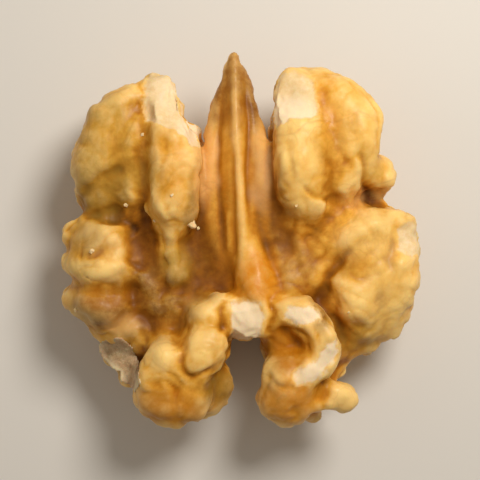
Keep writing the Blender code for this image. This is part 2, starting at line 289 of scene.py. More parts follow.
class Bench:
    """A material's nodes, with short ways to add them and join them."""

    def __init__(self, name: str) -> None:
        """Starts a material around one Principled shader."""
        self.material = bpy.data.materials.new(name)
        self.material.use_nodes = True
        self.tree = self.material.node_tree
        self.shader = self.tree.nodes["Principled BSDF"]
        self.place = self.tree.nodes.new("ShaderNodeTexCoord").outputs["Object"]

    def feed(self, socket: bpy.types.NodeSocket, value: object) -> None:
        """Links another node's output to the socket, or sets the socket to a plain value."""
        if isinstance(value, bpy.types.NodeSocket):
            self.tree.links.new(value, socket)
        else:
            socket.default_value = value

    def math(self, operation: str, first: object, second: object = 0.0) -> bpy.types.NodeSocket:
        """One sum, product or other operation on two values."""
        node = self.tree.nodes.new("ShaderNodeMath")
        node.operation = operation
        self.feed(node.inputs[0], first)
        self.feed(node.inputs[1], second)
        return node.outputs[0]

    def span(self, value: object, low: float, high: float, start: float = 0.0, end: float = 1.0
             ) -> bpy.types.NodeSocket:
        """Stretches the range from low to high over start to end, with a smooth rise and nothing beyond."""
        node = self.tree.nodes.new("ShaderNodeMapRange")
        node.interpolation_type = "SMOOTHSTEP"
        for socket, part in zip(node.inputs, (value, low, high, start, end)):
            self.feed(socket, part)
        return node.outputs[0]

    def stored(self, name: str) -> bpy.types.NodeSocket:
        """A value that the mesh holds at each point."""
        node = self.tree.nodes.new("ShaderNodeAttribute")
        node.attribute_name = name
        return node.outputs["Fac"]

    def mottle(self, spacing: float, detail: float = 3.0, roughness: float = 0.5, twist: float = 0.0
               ) -> bpy.types.NodeSocket:
        """Smooth noise from 0 to 1 whose bumps are about this many millimetres apart."""
        node = self.tree.nodes.new("ShaderNodeTexNoise")
        self.feed(node.inputs["Vector"], self.place)
        self.feed(node.inputs["Scale"], 1.0 / (spacing * MM))
        self.feed(node.inputs["Detail"], detail)
        self.feed(node.inputs["Roughness"], roughness)
        self.feed(node.inputs["Distortion"], twist)
        return node.outputs["Fac"]

    def net(self, spacing: float, bend: float) -> bpy.types.NodeSocket:
        """How far a place is from the nearest line of an irregular net, as a share of its spacing.

        Args:
            spacing: About how wide the net's meshes are, in millimetres.
            bend: How far its lines are bent, in millimetres.

        Returns:
            The distance, 0 on the lines.
        """
        bends = self.tree.nodes.new("ShaderNodeTexNoise")
        self.feed(bends.inputs["Vector"], self.place)
        self.feed(bends.inputs["Scale"], 1.0 / (0.8 * spacing * MM))
        centred = self.tree.nodes.new("ShaderNodeVectorMath")
        centred.operation = "SUBTRACT"
        self.feed(centred.inputs[0], bends.outputs["Color"])
        self.feed(centred.inputs[1], (0.5, 0.5, 0.5))
        pushed = self.tree.nodes.new("ShaderNodeVectorMath")
        pushed.operation = "MULTIPLY_ADD"
        self.feed(pushed.inputs[0], centred.outputs[0])
        self.feed(pushed.inputs[1], (2.0 * bend * MM,) * 3)
        self.feed(pushed.inputs[2], self.place)
        cells = self.tree.nodes.new("ShaderNodeTexVoronoi")
        cells.feature = "DISTANCE_TO_EDGE"
        self.feed(cells.inputs["Vector"], pushed.outputs[0])
        self.feed(cells.inputs["Scale"], 1.0 / (spacing * MM))
        return cells.outputs["Distance"]

    def ramp(self, value: object, stops: tuple[tuple[float, Colour], ...]) -> bpy.types.NodeSocket:
        """A colour picked by a value from 0 to 1 along the stops."""
        node = self.tree.nodes.new("ShaderNodeValToRGB")
        bar = node.color_ramp.elements
        while len(bar) < len(stops):
            bar.new(0.5)
        for element, (place, colour) in zip(bar, stops):
            element.position = place
            element.color = linear(colour)
        self.feed(node.inputs["Fac"], value)
        return node.outputs["Color"]

    def mix(self, share: object, first: object, second: object, blend: str = "MIX") -> bpy.types.NodeSocket:
        """Two colours mixed, where the share is how much of the second shows."""
        node = self.tree.nodes.new("ShaderNodeMix")
        node.data_type = "RGBA"
        node.blend_type = blend
        self.feed(node.inputs["Factor"], share)
        self.feed(node.inputs["A"], first)
        self.feed(node.inputs["B"], second)
        return node.outputs["Result"]

    def bump(self, height: object, depth: float, strength: float, under: object = None) -> bpy.types.NodeSocket:
        """Fine relief for light alone, that many millimetres deep."""
        node = self.tree.nodes.new("ShaderNodeBump")
        self.feed(node.inputs["Height"], height)
        self.feed(node.inputs["Distance"], depth * MM)
        self.feed(node.inputs["Strength"], strength)
        if under is not None:
            self.feed(node.inputs["Normal"], under)
        return node.outputs["Normal"]


@dataclass(frozen=True)
class Meat:
    """The walnut's pale inside: a dry, oily crumb."""

    shade: Colour = (224, 184, 124)
    body: Colour = (236, 206, 154)
    light: Colour = (254, 231, 196)
    roughness: float = 0.62
    grain: float = 0.45

    def colour(self, bench: Bench) -> bpy.types.NodeSocket:
        """The crumb's colour: cream with small darker and lighter grains."""
        grains = bench.mottle(self.grain, detail=4.0, roughness=0.65)
        clouds = bench.mottle(2.4, detail=2.0)
        value = bench.math("ADD", bench.math("MULTIPLY", grains, 0.6), bench.math("MULTIPLY", clouds, 0.4))
        return bench.ramp(value, ((0.2, self.shade), (0.5, self.body), (0.8, self.light)))

    def material(self) -> bpy.types.Material:
        """The finish of a loose crumb of meat."""
        bench = Bench("walnut_meat")
        bench.feed(bench.shader.inputs["Base Color"], self.colour(bench))
        bench.feed(bench.shader.inputs["Roughness"], bench.span(bench.mottle(0.3), 0.3, 0.7, 0.5, 0.75))
        bench.feed(bench.shader.inputs["Normal"], bench.bump(bench.mottle(0.18, detail=4.0), 0.05, 0.7))
        bench.feed(bench.shader.inputs["Subsurface Weight"], 0.15)
        bench.feed(bench.shader.inputs["Subsurface Scale"], 0.5 * MM)
        return bench.material


@dataclass(frozen=True)
class Paper:
    """The dry, fibrous partition between a walnut's halves."""

    dull: Colour = (134, 102, 68)
    pale: Colour = (188, 156, 118)
    light: Colour = (222, 196, 160)
    rim: Colour = (238, 214, 174)

    def material(self) -> bpy.types.Material:
        """The finish of a torn scrap of it."""
        bench = Bench("septum_paper")
        fibres = bench.mottle(0.35, detail=5.0, roughness=0.7, twist=1.2)
        clouds = bench.mottle(1.6, detail=2.0)
        value = bench.math("ADD", bench.math("MULTIPLY", fibres, 0.45), bench.math("MULTIPLY", clouds, 0.55))
        body = bench.ramp(value, ((0.35, self.dull), (0.5, self.pale), (0.65, self.light)))
        rim = bench.math("MULTIPLY", bench.stored("rim"), bench.span(clouds, 0.35, 0.6, 0.35, 0.9))
        bench.feed(bench.shader.inputs["Base Color"], bench.mix(rim, body, linear(self.rim)))
        bench.feed(bench.shader.inputs["Roughness"], bench.span(fibres, 0.3, 0.7, 0.42, 0.62))
        bench.feed(bench.shader.inputs["Normal"], bench.bump(fibres, 0.04, 0.5))
        bench.feed(bench.shader.inputs["Subsurface Weight"], 0.25)
        bench.feed(bench.shader.inputs["Subsurface Scale"], 0.5 * MM)
        bench.feed(bench.shader.inputs["Specular IOR Level"], 0.2)
        return bench.material


@dataclass(frozen=True)
class Pellicle:
    """The kernel's thin brown skin, with bare meat where it is chipped; its colour holds painted shade in the hollows
    beside their own darker brown, and painted highlights on some lobes.
    """

    umber: Colour = (92, 50, 8)
    brown: Colour = (140, 84, 14)
    amber: Colour = (190, 122, 28)
    gold: Colour = (232, 172, 68)
    straw: Colour = (251, 208, 128)
    olive: Colour = (160, 126, 46)
    orange: Colour = (216, 132, 14)
    # A pinkish tan: the skin's own colour beside the keel, and painted highlights on some folds.
    rose: Colour = (238, 180, 108)
    # The colour of the painted highlights and painted light.
    painted_light: Colour = (255, 220, 140)
    film: Colour = (180, 150, 116)
    horn: Colour = (144, 86, 24)
    # A deep brown that is partly the skin's own colour and partly painted shade.
    russet: Colour = (110, 60, 2)
    vein: Colour = (130, 72, 12)
    meat: Meat = field(default_factory=Meat)

    def tone(self, bench: Bench) -> bpy.types.NodeSocket:
        """How light the skin is at a place: light on the ridges, dark down in the valleys and creases, partly the
        skin's own darker colour there and partly painted shade.
        """
        clouds = bench.span(bench.mottle(4.2, detail=4.0, roughness=0.6, twist=0.8), 0.28, 0.72, -0.11, 0.11)
        specks = bench.span(bench.mottle(0.8, detail=4.0, roughness=0.6), 0.25, 0.75, -0.06, 0.06)
        # Painted shade in part: the valleys, broad hollows and narrow creases darken the skin for its own darker brown
        # there and for the shade that falls in them, and the ridges are lightened.
        deep = bench.math("MULTIPLY", bench.stored("valley"), -0.38)
        fold = bench.span(bench.stored("fold"), -0.5, 0.5, 0.18, -0.20)
        crease = bench.span(bench.stored("crease"), -0.12, 0.20, 0.12, -0.32)
        tone = bench.math("ADD", 0.74, clouds)
        for part in (specks, deep, fold, crease):
            tone = bench.math("ADD", tone, part)
        return tone

    def skin(self, bench: Bench) -> bpy.types.NodeSocket:
        """The colour of the unbroken skin, with its own tints together with painted shade and painted highlights."""
        shades = (self.umber, self.brown, self.amber, self.gold, self.straw)
        stops = tuple(zip((0.0, 0.25, 0.5, 0.75, 1.0), shades))
        colour = bench.ramp(self.tone(bench), stops)
        green = bench.span(bench.mottle(3.1, detail=3.0, twist=0.5), 0.50, 0.72, 0.0, 0.24)
        colour = bench.mix(green, colour, linear(self.olive))
        uneven = bench.span(bench.mottle(1.3, detail=4.0, roughness=0.65), 0.35, 0.65, 0.65, 1.0)
        # The tint groups: some are only the skin's own colour, the olive and russet groups are partly painted shade,
        # the rose group is partly painted highlights, and the brightest group is wholly painted highlights and painted
        # light.
        for name, shade, most in (("horn", self.horn, 0.9), ("russet", self.russet, 0.85),
                                  ("olive", self.olive, 0.6), ("orange", self.orange, 0.9),
                                  ("rose", self.rose, 0.9), ("painted_light", self.painted_light, 0.5),
                                  ("film", self.film, 0.85)):
            share = bench.math("MULTIPLY", bench.math("MULTIPLY", bench.stored(name), most), uneven)
            colour = bench.mix(share, colour, linear(shade))
        patchy = bench.span(bench.mottle(4.0, detail=2.0), 0.42, 0.62)
        coarse = bench.math("MULTIPLY", bench.span(bench.net(4.2, 1.3), 0.0, 0.05, 0.17, 0.0), patchy)
        fine = bench.math("MULTIPLY", bench.span(bench.net(1.7, 0.7), 0.0, 0.06, 0.10, 0.0), patchy)
        veins = bench.math("MAXIMUM", coarse, fine)
        return bench.mix(veins, colour, linear(self.vein))

    def material(self) -> bpy.types.Material:
        """The finish of the whole kernel."""
        bench = Bench("walnut_skin")
        ragged = bench.span(bench.mottle(0.6, detail=3.0), 0.25, 0.75, -0.12, 0.12)
        edge = bench.math("ADD", bench.stored("chip"), ragged)
        thin = bench.span(edge, -0.20, 0.02, 0.0, 0.55)
        bare = bench.span(edge, -0.06, 0.26)
        skin = bench.mix(thin, self.skin(bench), linear(self.straw))
        # Painted light: the meat on the marked chips takes its lightest colour, which lifts the shade that falls on
        # them.
        chip_light_share = bench.math("MULTIPLY", bench.stored("painted_chip_light"), 0.8)
        meat = bench.mix(chip_light_share, self.meat.colour(bench), linear(self.meat.light))
        colour = bench.mix(bare, skin, meat)
        bench.feed(bench.shader.inputs["Base Color"], colour)
        sheen = bench.span(bench.mottle(1.1, detail=4.0, roughness=0.6), 0.3, 0.7, 0.29, 0.44)
        dry = bench.math("MULTIPLY", bench.math("ADD", bench.stored("film"), bench.stored("valley")), 0.50)
        rough = bench.math("ADD", bench.math("ADD", sheen, dry), bench.math("MULTIPLY", bare, 0.20))
        bench.feed(bench.shader.inputs["Roughness"], rough)
        grains = bench.bump(bench.mottle(0.22, detail=4.0, roughness=0.6), 0.04, 0.25)
        ripples = bench.bump(bench.mottle(0.75, detail=3.0, twist=0.8), 0.07, 0.35, under=grains)
        bench.feed(bench.shader.inputs["Normal"], ripples)
        bench.feed(bench.shader.inputs["Subsurface Weight"], 0.16)
        bench.feed(bench.shader.inputs["Subsurface Scale"], 0.9 * MM)
        bench.feed(bench.shader.inputs["Subsurface Radius"], (1.0, 0.45, 0.15))
        bench.feed(bench.shader.inputs["Specular IOR Level"], 0.17)
        return bench.material


RIDGE, GROOVE = Press.RIDGE, Press.GROOVE


@dataclass
class Kernel:
    """The kernel's one grown piece: lobes, arms, bridge, toes and keel under one skin."""

    voxel: float = 0.2
    even_steps: int = 10
    calm_reach: int = 130
    calm_places: tuple[Tint, ...] = (
        Tint((11.2, -4.0), (3.6, 5.0), 0.9), Tint((9.4, 0.6), (4.0, 2.4), 0.7), Tint((9.4, 9.6), (3.6, 5.0), 0.95),
        Tint((5.0, 5.6), (2.6, 5.0), 0.75), Tint((-11.8, -1.4), (3.2, 3.4), 0.75), Tint((-11.0, 7.4), (3.2, 4.6), 0.6),
        Tint((-7.2, -1.4), (1.6, 3.4), 0.85), Tint((-5.6, 6.0), (1.8, 4.2), 0.5), Tint((4.4, -1.0), (2.4, 3.6), 0.7),
        Tint((-3.2, -2.0), (1.8, 3.0), 0.6), Tint((3.8, -13.2), (2.8, 2.2), 0.6), Tint((-5.6, -13.2), (2.8, 2.4), 0.5),
        Tint((-8.0, 7.0), (1.2, 5.0), 0.6), Tint((-9.3, -0.4), (1.8, 3.2), 1.0),
        Tint((-3.4, -9.8), (2.2, 3.0), 0.9), Tint((-6.3, -9.8), (2.0, 2.6), 0.7),
        Tint((-14.2, 1.4), (1.2, 1.2), 0.7), Tint((-4.6, 11.2), (1.8, 2.2), 0.8),
        Tint((-12.0, -3.8), (2.8, 1.6), 0.7),
       
        Tint((-0.4, 5.5), (3.0, 8.0), 0.65),
    )
    pulls: tuple[Pull, ...] = (
        Pull((12.8, 3.4), (1.3, 0.9), (-0.5, 0.1)), Pull((11.6, 4.5), (1.2, 1.0), (0.7, 0.0)),
        Pull((12.6, 7.9), (1.5, 1.1), (-0.4, 0.0)), Pull((-14.4, 2.4), (1.2, 0.8), (0.5, 0.0)),
        Pull((-15.0, -3.4), (1.1, 0.7), (0.4, 0.0)), Pull((-3.8, 10.4), (1.8, 1.7), (-0.7, -0.2)),
        Pull((3.6, 12.8), (1.5, 1.8), (-0.5, 0.0)), Pull((-9.4, 1.6), (1.4, 1.3), (-0.5, -0.4)),
    )
    sharpen_steps: int = 50
    sharpen_gain: float = 0.55
    sharpen_most: float = 0.24
    ripple_spacing: float = 1.5
    ripple_height: float = 0.10
    crinkle_spacing: float = 0.62
    crinkle_height: float = 0.04
    face_calm: float = 0.35
    back_spacing: float = 1.9
    back_height: float = 0.22
    finish: Pellicle = field(default_factory=Pellicle)

    keel_strokes: tuple[Stroke, ...] = (
        Stroke(RIDGE, 0.34, 0.18, ((-0.45, 15.2), (-0.45, 12.0), (-0.4, 9.0), (-0.15, 6.5), (0.0, 3.5), (0.2, 1.0),
                                   (0.2, -2.2))),
        Stroke(GROOVE, 0.24, 0.16, ((-1.2, 13.6), (-1.6, 10.5), (-1.75, 7.5), (-1.7, 4.5), (-1.5, 1.5), (-1.3, -0.8))),
        Stroke(GROOVE, 0.24, 0.16, ((0.3, 13.6), (0.65, 10.5), (0.65, 7.5), (0.6, 4.5), (0.8, 1.8))),
        Stroke(GROOVE, 0.20, 0.12, ((-0.55, 7.6), (-0.55, 5.0), (-0.5, 2.5), (-0.5, 0.4), (-0.3, -2.0))),
        Stroke(RIDGE, 0.22, 0.10, ((-0.95, 2.6), (-0.95, 0.8), (-0.9, -1.4))),
        Stroke(RIDGE, 0.50, 0.14, ((-2.4, 8.6), (-2.65, 6.4), (-2.6, 3.6))),
        Stroke(RIDGE, 0.50, 0.14, ((1.5, 8.4), (1.7, 6.0), (1.7, 3.6))),
        Stroke(GROOVE, 0.60, 0.16, ((3.0, 2.2), (4.0, -0.3), (4.8, -2.4), (5.8, -4.2))),
        Stroke(GROOVE, 0.34, 0.10, ((1.9, 0.6), (2.5, -1.6), (3.4, -3.8))),
    )
    left_strokes: tuple[Stroke, ...] = (
        Stroke(GROOVE, 0.60, 0.30, ((-7.9, 12.4), (-8.1, 9.5), (-8.2, 7.0), (-8.0, 4.5), (-7.8, 2.0))),
        Stroke(GROOVE, 0.50, 0.34, ((-13.8, 3.4), (-12.2, 4.3), (-10.6, 5.3), (-9.2, 6.0))),
        Stroke(GROOVE, 0.42, 0.32, ((-13.6, 2.0), (-12.0, 1.9), (-10.2, 1.7), (-8.9, 1.4), (-8.0, 0.6))),
        Stroke(RIDGE, 0.85, 0.34, ((-14.0, -1.0), (-13.4, -2.4), (-11.8, -2.8), (-10.2, -2.4), (-9.5, -1.2))),
        Stroke(RIDGE, 0.75, 0.24, ((-13.2, 0.4), (-11.8, 0.7), (-10.8, 0.2))),
        Stroke(GROOVE, 0.45, 0.20, ((-12.9, -1.0), (-11.8, -1.2), (-10.8, -0.9))),
        Stroke(RIDGE, 0.45, 0.16, ((-12.2, -0.6), (-11.6, -0.5))),
        Stroke(GROOVE, 0.50, 0.10, ((-14.4, -4.0), (-12.6, -4.0), (-10.8, -4.1), (-9.6, -3.6))),
        Stroke(RIDGE, 1.30, 0.55, ((-12.6, -5.0), (-11.4, -5.8))),
        Stroke(RIDGE, 0.95, 0.40, ((-11.6, -7.4), (-10.2, -7.7))),
        Stroke(GROOVE, 0.50, 0.20, ((-13.4, -6.4), (-11.8, -6.9), (-10.2, -6.5), (-9.4, -5.4))),
        Stroke(GROOVE, 1.05, 0.65, ((-9.2, 1.8), (-8.7, 0.4), (-8.7, -1.2), (-9.1, -2.4))),
        Stroke(GROOVE, 0.60, 0.24, ((-8.4, -2.4), (-8.8, -4.6), (-8.2, -6.0))),
        Stroke(RIDGE, 0.60, 0.16, ((-10.2, 0.3), (-9.8, -0.8), (-10.1, -2.0))),
        Stroke(RIDGE, 0.80, 0.34, ((-5.9, -0.8), (-5.2, -2.8))),
        Stroke(RIDGE, 0.60, 0.26, ((-8.0, -3.0), (-7.2, -4.8), (-6.2, -6.4))),
        Stroke(RIDGE, 0.55, 0.22, ((-6.4, -4.0), (-5.4, -5.4), (-4.8, -6.2))),
        Stroke(GROOVE, 0.40, 0.18, ((-8.8, -5.6), (-7.6, -6.8), (-7.0, -7.8))),
        Stroke(RIDGE, 0.60, 0.24, ((-9.4, -7.0), (-8.6, -8.0), (-8.4, -9.0))),
        Stroke(GROOVE, 0.30, 0.12, ((-6.2, 8.6), (-6.4, 6.2), (-6.9, 4.0))),
        Stroke(GROOVE, 0.26, 0.12, ((-5.6, 3.4), (-5.9, 2.2), (-5.5, 1.2))),
    )
    toe_strokes: tuple[Stroke, ...] = (
        Stroke(GROOVE, 0.40, 0.30, ((-5.3, -7.6), (-5.0, -8.8), (-4.9, -9.9), (-4.4, -10.9), (-3.3, -11.3),
                                    (-2.2, -10.9), (-1.4, -10.2))),
        Stroke(GROOVE, 0.45, 0.12, ((-5.0, -12.0), (-5.3, -13.6), (-5.0, -15.0))),
        Stroke(GROOVE, 0.55, 0.12, ((-8.6, -10.9), (-7.4, -11.8), (-6.0, -11.9))),
        Stroke(RIDGE, 0.90, 0.30, ((-6.4, -8.8), (-6.0, -9.6))),
        Stroke(GROOVE, 0.34, 0.20, ((2.2, -4.7), (2.6, -6.2), (2.3, -7.8))),
        Stroke(GROOVE, 0.34, 0.20, ((-1.2, -4.6), (-1.4, -6.2), (-1.6, -7.6))),
        Stroke(RIDGE, 0.50, 0.20, ((4.0, -5.1), (6.0, -5.8), (7.1, -6.9), (7.5, -8.4), (7.2, -9.8))),
        Stroke(GROOVE, 0.42, 0.26, ((3.0, -7.4), (4.4, -7.3), (5.4, -8.0), (5.6, -9.4))),
        Stroke(GROOVE, 0.36, 0.26, ((7.2, -11.8), (6.8, -13.0), (7.0, -14.4))),
        Stroke(GROOVE, 0.30, 0.14, ((2.2, -10.6), (3.2, -11.9), (5.0, -12.4))),
        Stroke(GROOVE, 0.30, 0.14, ((4.3, -13.0), (4.6, -14.2), (4.2, -15.2))),
    )
    right_strokes: tuple[Stroke, ...] = (
        Stroke(GROOVE, 0.90, 0.20, ((6.9, 14.4), (7.2, 12.0), (7.6, 9.4), (7.6, 7.0), (7.0, 4.6))),
        Stroke(GROOVE, 0.55, 0.16, ((8.2, 8.2), (8.8, 6.4), (9.3, 4.4), (9.2, 3.0))),
        Stroke(RIDGE, 0.60, 0.14, ((9.8, 6.0), (9.6, 4.2))),
        Stroke(GROOVE, 0.34, 0.28, ((10.4, 7.4), (10.2, 6.2), (10.3, 4.6), (10.9, 3.4))),
        Stroke(GROOVE, 0.34, 0.16, ((5.0, 4.6), (6.2, 3.6), (7.4, 3.4))),
        Stroke(GROOVE, 0.30, 0.12, ((4.2, 8.8), (4.0, 6.4), (4.3, 4.6))),
        Stroke(RIDGE, 0.70, 0.22, ((7.2, -0.4), (9.2, 0.6), (11.4, 1.5), (13.4, 2.1))),
        Stroke(GROOVE, 0.50, 0.28, ((9.6, -0.7), (8.6, -1.4), (7.6, -2.6), (6.8, -4.2), (7.0, -6.0))),
        Stroke(GROOVE, 0.42, 0.16, ((12.8, 1.4), (12.7, 0.0), (12.4, -1.6), (12.9, -3.0))),
        Stroke(RIDGE, 1.20, 0.35, ((9.2, -4.2), (9.6, -4.8), (9.9, -5.6))),
        Stroke(GROOVE, 0.55, 0.10, ((11.2, -2.6), (11.6, -4.4), (11.5, -6.2))),
        Stroke(RIDGE, 0.60, 0.16, ((13.2, -2.0), (13.5, -3.4))),
        Stroke(GROOVE, 0.50, 0.20, ((7.4, -6.2), (8.4, -7.4), (8.6, -9.0))),
        Stroke(GROOVE, 0.55, 0.14, ((8.8, -7.0), (10.2, -7.4), (11.8, -7.0))),
    )
    chips: tuple[Chip, ...] = (
        Chip(Outline(((-8.0, 12.7), (-7.6, 14.4), (-6.0, 14.8), (-4.8, 13.4), (-4.3, 11.6), (-3.9, 10.7), (-3.0, 9.8),
                      (-3.0, 8.6), (-3.2, 7.6), (-3.9, 7.6), (-4.6, 8.3), (-5.4, 9.0), (-6.4, 9.4), (-7.7, 9.7),
                      (-8.0, 11.0))), 0.20, 0.50),
        Chip(Outline(((2.7, 12.5), (3.2, 13.9), (4.6, 14.1), (6.1, 13.1), (6.4, 11.0), (6.3, 10.0), (4.0, 9.7),
                      (2.7, 9.2), (2.3, 9.6), (2.3, 11.0))), 0.20, 0.50),
        Chip(Outline(((12.9, 1.0), (14.0, 1.5), (15.4, 1.2), (15.5, -1.2), (14.4, -1.6), (13.0, -0.9))), 0.10, 0.3),
        Chip(Outline(((-0.8, -5.2), (0.6, -4.9), (1.8, -5.2), (2.0, -6.8), (1.6, -8.2), (0.3, -8.8), (-0.7, -8.3),
                      (-0.9, -6.8))), 0.16, 0.45),
        Chip(Outline(((3.7, -5.4), (5.6, -5.1), (6.7, -6.0), (6.3, -6.8), (4.4, -7.0), (3.6, -6.4))), 0.14, 0.4),
        Chip(Outline(((6.9, -8.3), (8.1, -8.0), (8.2, -9.4), (7.2, -10.6), (5.9, -11.8), (4.6, -11.8), (4.3, -10.8),
                      (5.5, -10.1), (6.4, -9.4))), 0.14, 0.35),
    )
    tints: dict[str, tuple[Tint, ...]] = field(default_factory=lambda: {
        # Partly the skin's own olive colour, partly painted shade on the lower side of the right cheek and on the
        # bulge beside the left toe.
        "olive": (Tint((-10.9, 7.0), (3.6, 6.0), 0.75), Tint((-12.0, 4.0), (3.0, 3.0), 0.6),
                  Tint((-5.3, -1.9), (1.4, 2.0), 0.95), Tint((9.8, -8.0), (2.6, 1.8), 0.6),
                  Tint((-13.2, -1.0), (2.0, 2.6), 0.35), Tint((-1.6, -12.2), (1.2, 2.0), 0.9)),
        "orange": (Tint((1.4, -3.2), (2.4, 2.6), 0.95), Tint((-11.2, -4.8), (2.6, 1.6), 0.3),
                   Tint((4.2, -13.0), (3.2, 2.4), 0.8), Tint((-6.0, -13.4), (3.2, 2.2), 0.5),
                   Tint((4.0, -8.6), (2.2, 2.4), 0.5), Tint((7.2, 10.6), (0.9, 3.6), 0.35), Tint((-0.5, 5.0), (1.5, 8.0), 0.25),
                   Tint((-5.6, 6.2), (1.8, 3.6), 0.3)),
        # The pinkish strips beside the keel are the skin's own colour, and the patches on the lower left fold and on
        # the right cheek's ridge are painted highlights.
        "rose": (Tint((-9.8, -7.0), (1.6, 0.8), 0.6), Tint((-2.7, 6.0), (1.1, 4.0), 1.0), Tint((1.9, 6.2), (1.0, 3.8), 0.65),
                 Tint((9.5, 3.5), (1.2, 1.0), 0.5), Tint((8.6, 0.6), (1.4, 0.9), 0.4)),
        # Painted highlights where the lobes catch the light, and painted light on the shadowed ledge under the right
        # knob.
        "painted_light": (Tint((9.6, -4.7), (1.2, 1.4), 1.0), Tint((4.8, 6.6), (1.8, 3.8), 1.0),
                 Tint((11.8, 4.1), (1.1, 0.9), 1.0),
                 Tint((4.8, 3.0), (1.0, 1.0), 0.6), Tint((9.6, 10.0), (2.4, 3.4), 0.6),
                 Tint((11.2, 6.2), (1.2, 1.2), 0.6), Tint((11.0, 0.2), (3.0, 2.0), 0.9),
                 Tint((12.2, -4.6), (2.2, 3.8), 1.0), Tint((-11.8, -2.6), (2.4, 0.9), 0.8), 
                 Tint((-9.8, -7.1), (1.5, 0.6), 0.35), Tint((-13.3, -6.4), (1.6, 1.1), 0.7),
                 Tint((-12.0, -0.2), (0.8, 0.8), 0.3),
                 Tint((-5.0, 5.0), (0.8, 2.0), 0.2), Tint((-3.4, -8.9), (1.3, 1.2), 1.0),
                 Tint((-6.2, -9.3), (1.3, 1.2), 0.9), Tint((8.5, -12.8), (1.1, 0.9), 0.7),
                 Tint((-3.2, -5.4), (1.6, 0.8), 0.6), Tint((2.8, -11.2), (0.9, 1.2), 0.4)),
        # Painted light on chips: their meat is lightened to lift the shade that falls on them.
        "painted_chip_light": (Tint((5.2, -6.0), (2.6, 1.6)), Tint((6.6, -9.8), (2.8, 2.8)), Tint((0.5, -6.8), (2.2, 2.6)),
                   Tint((-5.8, 12.2), (1.6, 1.8), 0.5), Tint((-3.9, 9.0), (1.3, 1.5), 0.9),
                   Tint((4.2, 10.4), (2.4, 1.6), 1.0)),
        "film": (Tint((1.7, 6.0), (0.9, 3.6), 0.4), Tint((-10.3, -10.2), (1.7, 1.7), 0.7), Tint((-11.6, -0.2), (2.6, 1.4), 0.25)),
        # Partly the skin's own deep brown and partly painted shade: the valleys, the grooves beside the keel and the
        # lower sides of lobes turned from the light.
        "russet": (Tint((-11.4, -5.8), (3.2, 2.4), 1.0), Tint((-7.3, -5.1), (4.0, 3.7), 1.0),
                   Tint((-3.0, -1.8), (2.2, 3.6), 1.0), Tint((-7.8, -0.8), (1.3, 3.0), 0.9),
                   Tint((3.4, 1.0), (1.5, 2.6), 0.9), Tint((4.8, -2.6), (1.7, 2.6), 0.6),
                   Tint((6.6, -5.6), (1.3, 2.2), 0.9), Tint((8.6, -1.8), (1.4, 1.2), 0.4),
                   Tint((3.6, -8.8), (2.0, 2.2), 0.8), Tint((-5.6, -13.9), (3.2, 1.9), 0.7),
                   Tint((4.0, -14.6), (3.0, 1.4), 0.25), Tint((-1.5, -12.4), (1.5, 2.2), 0.9),
                   Tint((9.4, -8.8), (2.8, 1.6), 0.4),
                   Tint((-11.6, 3.4), (2.6, 1.8), 0.6), Tint((-3.7, 2.4), (0.9, 3.4), 0.7),
                   Tint((2.9, 3.4), (0.9, 2.8), 0.5), Tint((1.0, 11.0), (0.8, 2.4), 0.6),
                   Tint((-0.3, 9.0), (2.2, 5.0), 0.18)),
    })

    def copy_of_node(self, node: bpy.types.Object) -> bpy.types.Object:
        """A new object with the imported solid's skin, closed and remeshed evenly.

        Args:
            node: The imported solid's object.

        Returns:
            The new object, at the origin and unturned.
        """
        bm = bmesh.new()
        bm.from_mesh(node.data)
        bmesh.ops.remove_doubles(bm, verts=bm.verts, dist=0.001 * MM)
        mesh = bpy.data.meshes.new("walnut_half")
        bm.to_mesh(mesh)
        bm.free()
        piece = bpy.data.objects.new("walnut_half", mesh)
        bpy.context.scene.collection.objects.link(piece)
        remesh = piece.modifiers.new("even_skin", "REMESH")
        remesh.mode = "VOXEL"
        remesh.voxel_size = self.voxel * MM
        remesh.adaptivity = 0.0
        bpy.context.view_layer.update()
        graph = bpy.context.evaluated_depsgraph_get()
        even = bpy.data.meshes.new_from_object(piece.evaluated_get(graph))
        piece.modifiers.clear()
        piece.data = even
        bpy.data.meshes.remove(mesh)
        even.name = "walnut_half"
        return piece

    def reshape(self, skin: SkinMesh) -> None:
        """Draws the sides in or out where the outline seen from above turns between two lobes."""
        shift = sum(pull.shift(skin.points[:, :2]) for pull in self.pulls)
        skin.points[:, :2] += shift * smooth_step(0.0, 2.0, skin.points[:, 2])[:, None]
        skin.write()

    def calm(self, skin: SkinMesh) -> None:
        """Smooths the lobes that are broad and even on the real kernel."""
        places = wander(skin.points, 3.0, 0.6, (6.4, 2.9, 1.7))
        share = np.minimum(sum(tint.cover(places) for tint in self.calm_places), 1.0)
        inner = 1.0 - smooth_step(11.5, 13.5, np.linalg.norm(skin.points[:, :2], axis=1))
        share *= np.maximum(self.on_face(skin), inner * smooth_step(4.5, 6.5, skin.points[:, 2]))
        broad = skin.relaxed(skin.points, self.calm_reach)
        skin.points += share[:, None] * (broad - skin.points)
        skin.write()

    def sharpen(self, skin: SkinMesh) -> None:
        """Deepens the creases and lifts the ridges that the solid already has."""
        height = -self.sharpen_gain * skin.hollow(self.sharpen_steps)
        most = self.sharpen_most
        skin.move(most * np.tanh(height / most))

    def on_face(self, skin: SkinMesh) -> np.ndarray:
        """1 on the inner face, 0 on the sides and the back."""
        up = smooth_step(0.0, 0.45, skin.normals()[:, 2])
        return up * smooth_step(5.6, 7.2, skin.points[:, 2])

